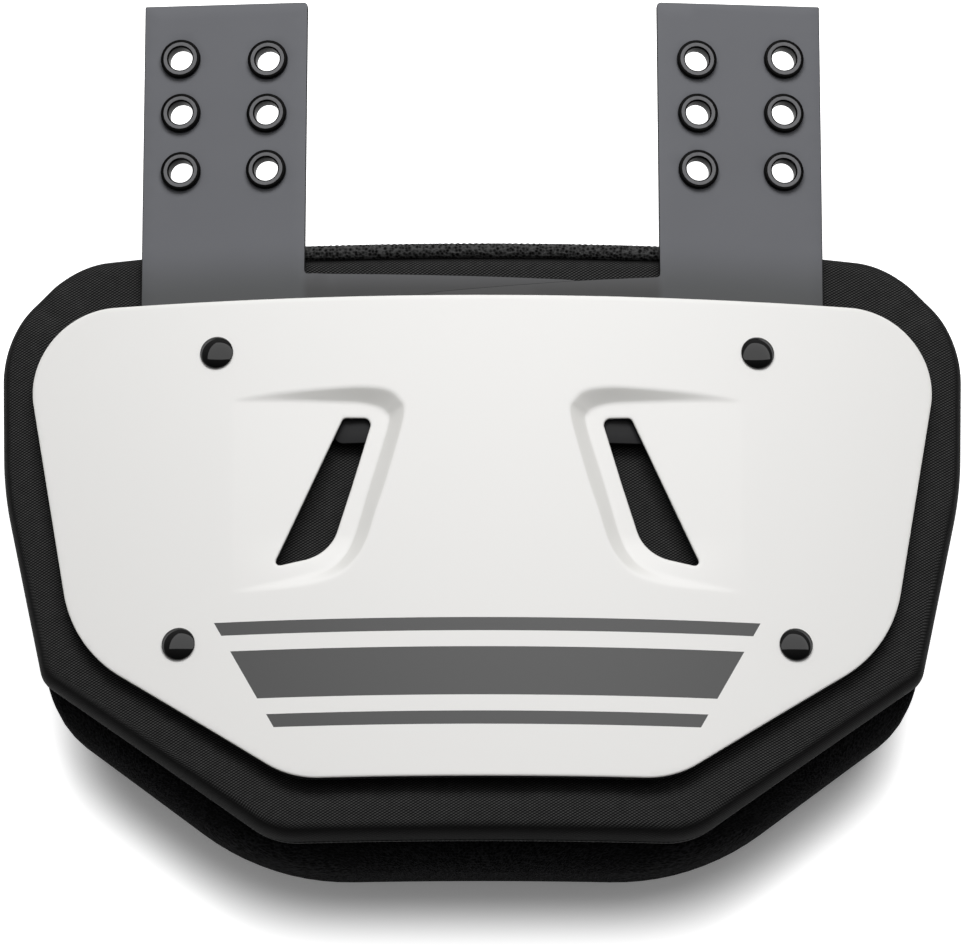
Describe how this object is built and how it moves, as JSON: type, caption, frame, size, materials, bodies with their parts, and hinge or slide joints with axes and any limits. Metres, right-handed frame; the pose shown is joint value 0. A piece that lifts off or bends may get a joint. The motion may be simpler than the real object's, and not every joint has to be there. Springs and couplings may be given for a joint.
{
  "type": "football back plate",
  "caption": "Arched padded back plate for football shoulder pads: white vented plate on a black cushion, with two strap tabs that carry rows of eyelets.",
  "frame": {"origin": "middle of the bounding box in X and Y, at the level that the pad rests on", "axes": "+X across the pad to the viewer's right, +Y toward the strap tabs, +Z out of the plate; the pad lies on its back"},
  "size_m": [0.31, 0.2896, 0.0611],
  "materials": {
    "plate_plastic": "satin",
    "strap_plastic": "matte",
    "eyelet_metal": "satin",
    "rivet_black": "gloss",
    "woven_cover": "woven",
    "mesh_cover": "knitted mesh",
    "piping_cord": "corded"
  },
  "bodies": {
    "root": {"shell_plate": "plate_plastic", "left_strap": "strap_plastic", "right_strap": "strap_plastic", "front_cushion": "woven_cover", "back_cushion": "mesh_cover", "seam_piping": "piping_cord", "top_mesh_roll": "mesh_cover", "grommet_left_outer_low": "eyelet_metal", "grommet_left_outer_mid": "eyelet_metal", "grommet_left_outer_high": "eyelet_metal", "grommet_left_inner_low": "eyelet_metal", "grommet_left_inner_mid": "eyelet_metal", "grommet_left_inner_high": "eyelet_metal", "grommet_right_outer_low": "eyelet_metal", "grommet_right_outer_mid": "eyelet_metal", "grommet_right_outer_high": "eyelet_metal", "grommet_right_inner_low": "eyelet_metal", "grommet_right_inner_mid": "eyelet_metal", "grommet_right_inner_high": "eyelet_metal", "rivet_left_upper": "rivet_black", "rivet_left_lower": "rivet_black", "rivet_right_upper": "rivet_black", "rivet_right_lower": "rivet_black"}
  },
  "joints": []
}
